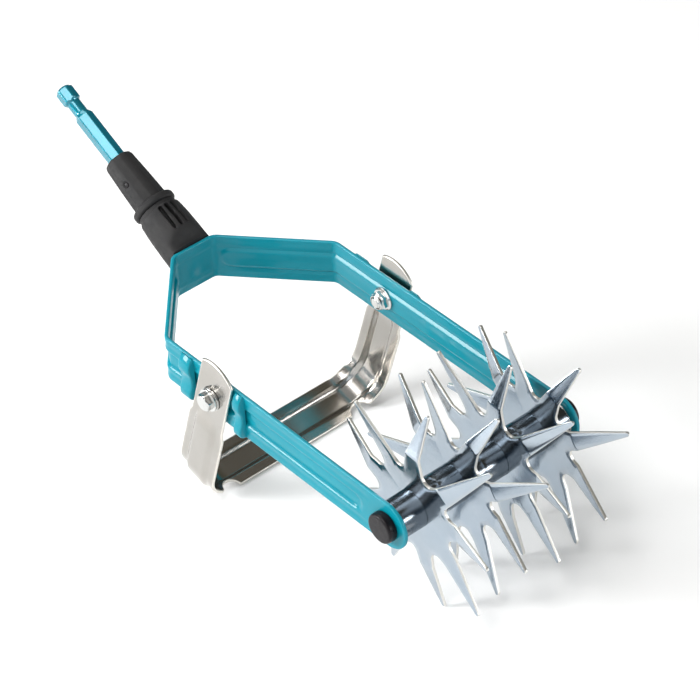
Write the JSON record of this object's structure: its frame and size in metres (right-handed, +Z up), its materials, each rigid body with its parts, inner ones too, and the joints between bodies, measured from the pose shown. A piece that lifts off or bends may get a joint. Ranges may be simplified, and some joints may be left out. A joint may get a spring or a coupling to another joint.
{
  "type": "star tiller head",
  "caption": "Hand star tiller head: toothed star wheels on an axle in a strip-steel yoke, a U-shaped swinging weeding blade behind them, and a hexagonal plug-in tang.",
  "frame": {"origin": "centre of the overall box on the floor plane, with the head standing on its tooth tips and the blade's cutting edge", "axes": "+X along the axle, +Y from the star wheels towards the handle, +Z up"},
  "size_m": [0.1618, 0.4546, 0.2037],
  "materials": {
    "teal_paint": "glossy turquoise paint on pressed strip steel",
    "teal_metal": "metallic turquoise coating on a hexagonal rod",
    "black_plastic": "fine-textured black moulding",
    "dark_plastic": "satin black moulding",
    "stainless_steel": "bright rolled stainless strip",
    "bright_zinc": "bright blue-passivated zinc plating",
    "bolt_zinc": "clear zinc plating"
  },
  "bodies": {
    "frame": {"yoke_frame": "teal_paint", "tang": "teal_metal", "upper_sleeve": "black_plastic", "sleeve_pin": "dark_plastic", "sleeve_collar": "black_plastic", "lower_sleeve": "black_plastic", "axle_rod": "bolt_zinc", "near_axle_cap": "dark_plastic", "far_axle_cap": "dark_plastic", "near_thrust_washer": "bolt_zinc", "far_thrust_washer": "bolt_zinc", "near_pivot_washer": "bolt_zinc", "near_pivot_bolt": "bolt_zinc", "near_pivot_nut": "bolt_zinc", "far_pivot_washer": "bolt_zinc", "far_pivot_bolt": "bolt_zinc", "far_pivot_nut": "bolt_zinc"},
    "rotor": {"tube_collar_1": "bright_zinc", "tube_collar_2": "bright_zinc", "tube_collar_3": "bright_zinc", "tube_collar_4": "bright_zinc", "tube_collar_5": "bright_zinc", "star_wheel_1": "bright_zinc", "star_wheel_2": "bright_zinc", "star_wheel_3": "bright_zinc", "star_wheel_4": "bright_zinc", "near_bearing_bush": "dark_plastic", "far_bearing_bush": "dark_plastic"},
    "blade": {"weeding_blade": "stainless_steel"}
  },
  "joints": [
    {"name": "rotor_spin", "type": "hinge", "parent": "frame", "child": "rotor", "pos_m": [0, -0.15497, 0.07254], "axis": [1, 0, 0], "continuous": true},
    {"name": "blade_swing", "type": "hinge", "parent": "frame", "child": "blade", "pos_m": [0, 0.00027, 0.09458], "axis": [1, 0, 0], "range_deg": [-34.4, 0]}
  ]
}
